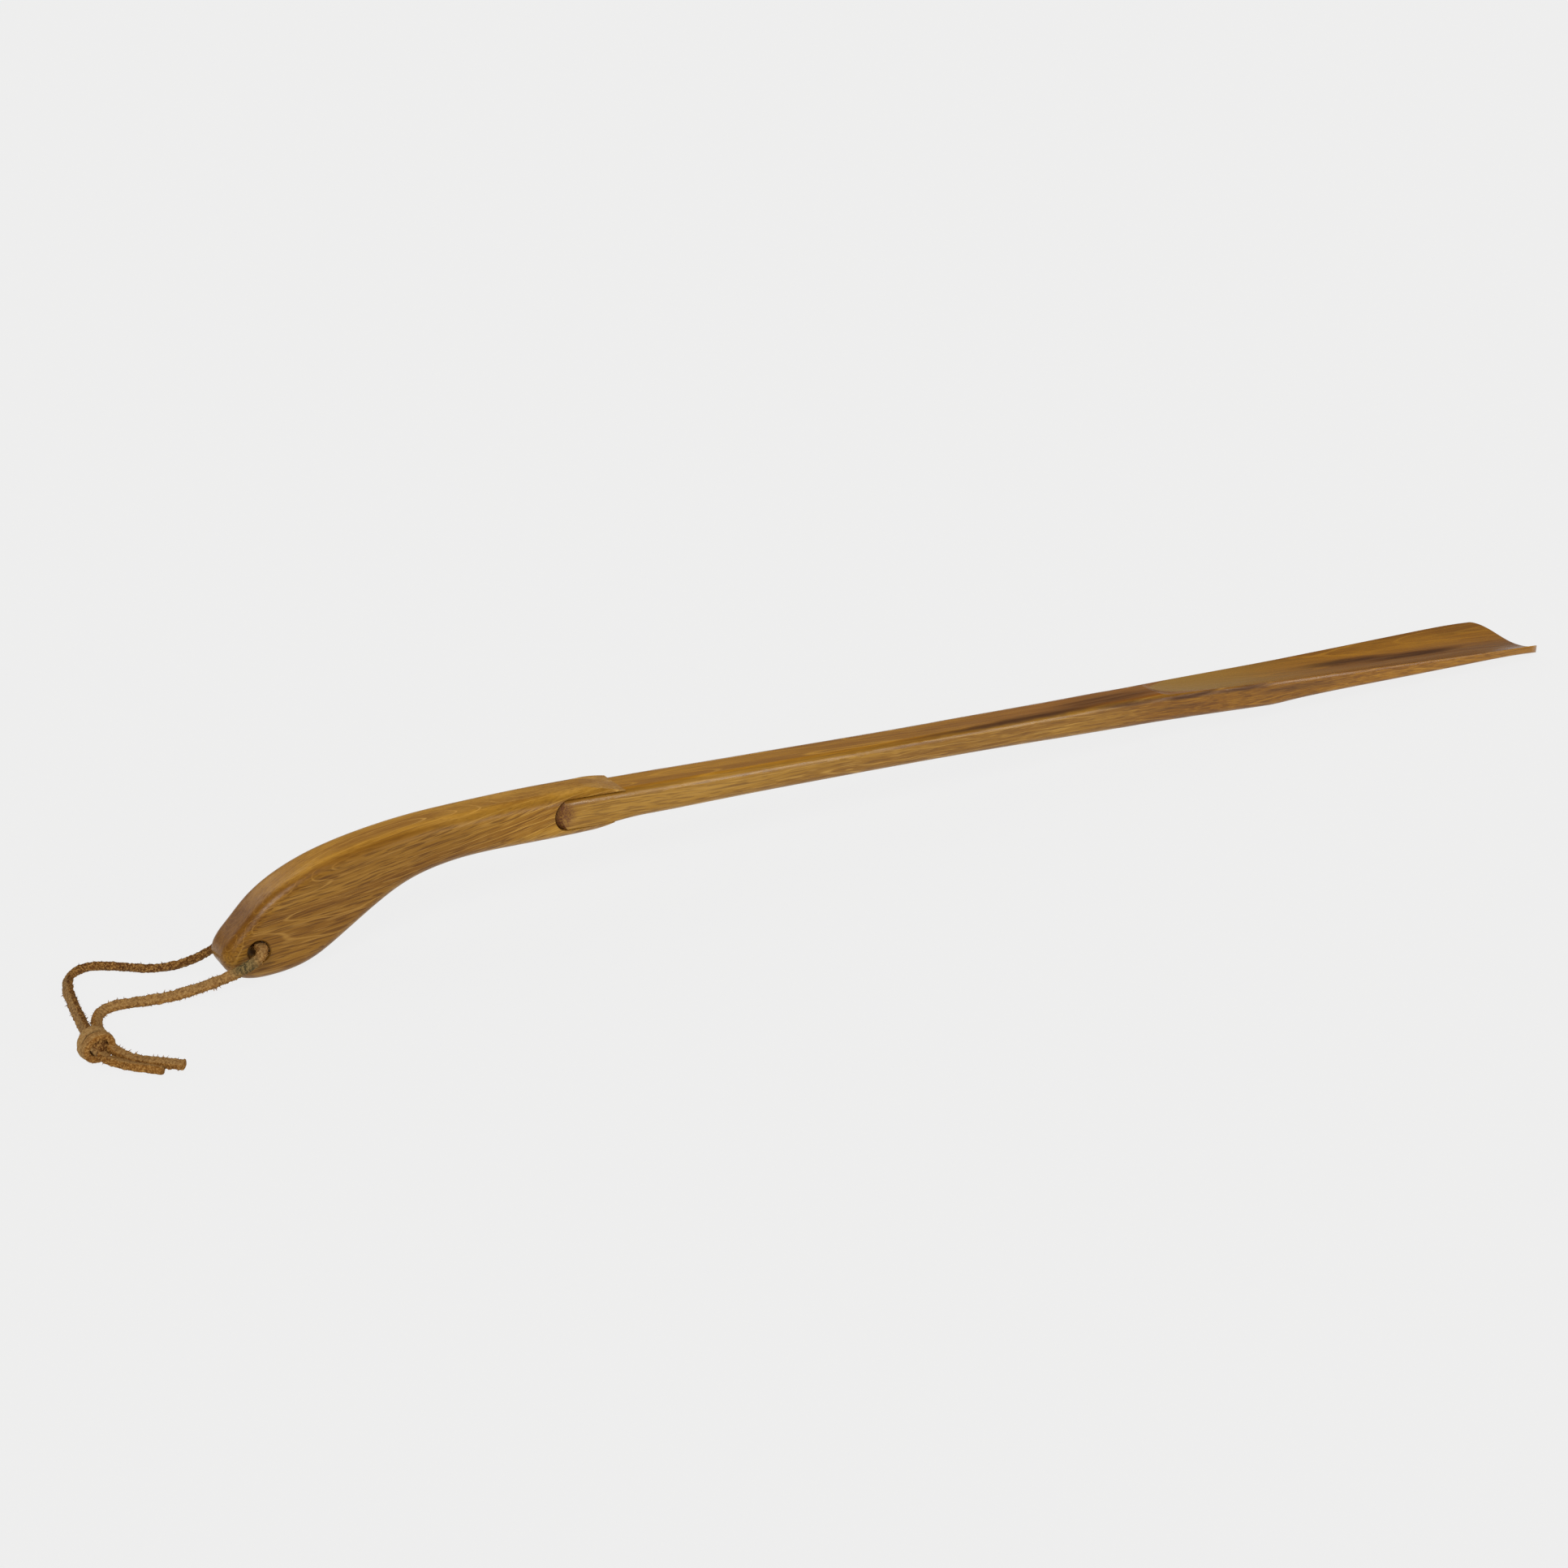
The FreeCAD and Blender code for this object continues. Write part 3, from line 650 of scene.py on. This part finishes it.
def suede(name, tone, skin, worn=()):
    """Raw suede: a napped tan side, a greyer skin side and speckles; tone darkens it, skin greys it all."""
    g = Graph(name)
    place = g.coordinates()
    cloud = g.noise(place, (0.22, 0.22, 0.22), 3.0, 0.6, 2.0)
    nap = g.noise(place, (1.2, 1.2, 1.2), 4.0, 0.7, 8.0)
    speck = g.noise(place, (2.0, 2.0, 2.0), 1.0, 0.5, 14.0)
    colour = g.blend(SUEDE_TAN, SUEDE_BROWN, g.span(cloud, 0.35, 0.72, tone, tone + 0.40))
    colour = g.blend(colour, SUEDE_PALE, g.span(nap, 0.48, 0.62, 0.0, 0.65))
    colour = g.blend(colour, SUEDE_BROWN, g.span(nap, 0.46, 0.34, 0.0, 0.70))
    colour = g.blend(colour, SUEDE_PALE, g.span(speck, 0.60, 0.66, 0.0, 0.7))
    side = g.add("ShaderNodeAttribute", attribute_name="skin_side").outputs["Fac"]
    skinned = g.math("MAXIMUM", g.math("MULTIPLY", side, 0.45), skin)
    colour = g.blend(colour, SUEDE_SKIN, g.math("MULTIPLY", skinned, g.span(nap, 0.30, 0.60, 0.30, 1.0)))
    for centre, reach, strength in worn:
        worn_here = g.patch(place, centre, reach, strength)
        mottle = g.span(g.noise(place, (1.1, 1.1, 1.1), 3.0, 0.7, 20.0), 0.46, 0.56)
        colour = g.blend(colour, SUEDE_DULL, g.math("MULTIPLY", worn_here, 0.85))
        colour = g.blend(colour, SUEDE_WORN, g.math("MULTIPLY", worn_here, mottle))
    surface(g, colour, SUEDE_ROUGHNESS, nap, SUEDE_RELIEF)
    g.shader.inputs["Specular IOR Level"].default_value = SUEDE_GLOSS
    return g.material


WORN = [((-322.5, -13.0, 9.5), (7.0, 5.0, 5.0), 0.9)]
suede_front = suede("suede_front", 0.12, 0.10, WORN)
suede_back = suede("suede_back", 0.60, 0.0)
suede_skin = suede("suede_skin", 0.0, 0.8)
suede_tails = suede("suede_tails", 0.10, 0.0)
wrap_leathers = [suede_skin if skin_out else suede_tails for _, _, _, skin_out in WRAPS]
dressed = [(front, suede_front), (back, suede_back), (tail_long, suede_tails), (tail_short, suede_tails)]
for piece, leather in dressed + list(zip(knot_pieces, wrap_leathers + [suede_back])):
    piece.data.materials.clear()
    piece.data.materials.append(leather)
knot = join("lace_tied_knot", knot_pieces)

LACE_PIECES = [front, back, tail_long, tail_short, knot]
for piece in LACE_PIECES:
    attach(piece, "lace")
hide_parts("lace_loop")
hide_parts("lace_loop")
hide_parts("lace_knot")
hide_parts("lace_tail_long")
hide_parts("lace_tail_short")

# ---- floor and light ----------------------------------------------------------------------------
FLOOR_HALF = 30.0
FLOOR_GLOW = 0.826           # the white sweep's own even brightness, as if lit from behind
FLOOR_SHADE = 0.035          # the little that it also takes from the lights, which gives faint shadows
WORLD_STRENGTH = 0.35
WORLD_COLOUR = (1.0, 0.87, 0.66, 1.0)
SOFTBOXES = [                # name, azimuth, elevation, strength, degrees across
    ("key", -38.0, 42.0, 1.6, 24.0),
    ("side", 33.0, 18.0, 0.9, 24.0),
    ("back", -150.0, 35.0, 0.6, 40.0)]
BACKDROP_RADIUS = 29.0
BACKDROP_HEIGHT = 60.0
BACKDROP_PANELS = 64
BACKDROP_GLOW = 0.855        # as bright as the lit floor


def add_stage_piece(name, verts, faces, shade, glow):
    """A piece of the studio that glows evenly and takes a little of the light that falls on it."""
    mesh = bpy.data.meshes.new(name)
    mesh.from_pydata(verts, [], faces)
    piece = bpy.data.objects.new(name, mesh)
    bpy.context.scene.collection.objects.link(piece)
    pale = Graph("pale_" + name)
    pale.put(pale.shader.inputs["Base Color"], (shade,) * 3)
    pale.put(pale.shader.inputs["Roughness"], 1.0)
    pale.put(pale.shader.inputs["Specular IOR Level"], 0.0)
    pale.put(pale.shader.inputs["Emission Color"], (1.0, 1.0, 1.0))
    pale.put(pale.shader.inputs["Emission Strength"], glow)
    mesh.materials.append(pale.material)
    return piece


def add_floor():
    h = FLOOR_HALF
    add_stage_piece("floor", [(-h, -h, 0.0), (h, -h, 0.0), (h, h, 0.0), (-h, h, 0.0)], [(0, 1, 2, 3)],
                    FLOOR_SHADE, FLOOR_GLOW)


def add_backdrop():
    """A round wall behind everything, which is seen but gives no light and no reflection."""
    verts = []
    for i in range(BACKDROP_PANELS):
        turn = 2 * math.pi * i / BACKDROP_PANELS
        x, y = BACKDROP_RADIUS * math.cos(turn), BACKDROP_RADIUS * math.sin(turn)
        verts += [(x, y, 0.0), (x, y, BACKDROP_HEIGHT)]
    count = len(verts)
    faces = [(i, i + 1, (i + 3) % count, (i + 2) % count) for i in range(0, count, 2)]
    wall = add_stage_piece("backdrop", verts, faces, 0.0, BACKDROP_GLOW)
    wall.visible_diffuse = False
    wall.visible_glossy = False
    wall.visible_shadow = False


def add_softbox(name, azimuth, elevation, strength, spread):
    """A large soft light, far enough off to be the same all along the object."""
    light = bpy.data.lights.new(name, "SUN")
    light.energy = strength
    light.angle = math.radians(spread)
    box = bpy.data.objects.new(name, light)
    towards = direction(math.radians(azimuth), math.radians(elevation))
    box.rotation_euler = towards.to_track_quat("Z", "Y").to_euler()
    bpy.context.scene.collection.objects.link(box)


def add_world():
    world = bpy.data.worlds.new("studio")
    world.use_nodes = True
    background = world.node_tree.nodes["Background"]
    background.inputs["Color"].default_value = WORLD_COLOUR
    background.inputs["Strength"].default_value = WORLD_STRENGTH
    bpy.context.scene.world = world


add_floor()
add_backdrop()
for softbox in SOFTBOXES:
    add_softbox(*softbox)
add_world()
bpy.context.scene.view_settings.view_transform = "Standard"
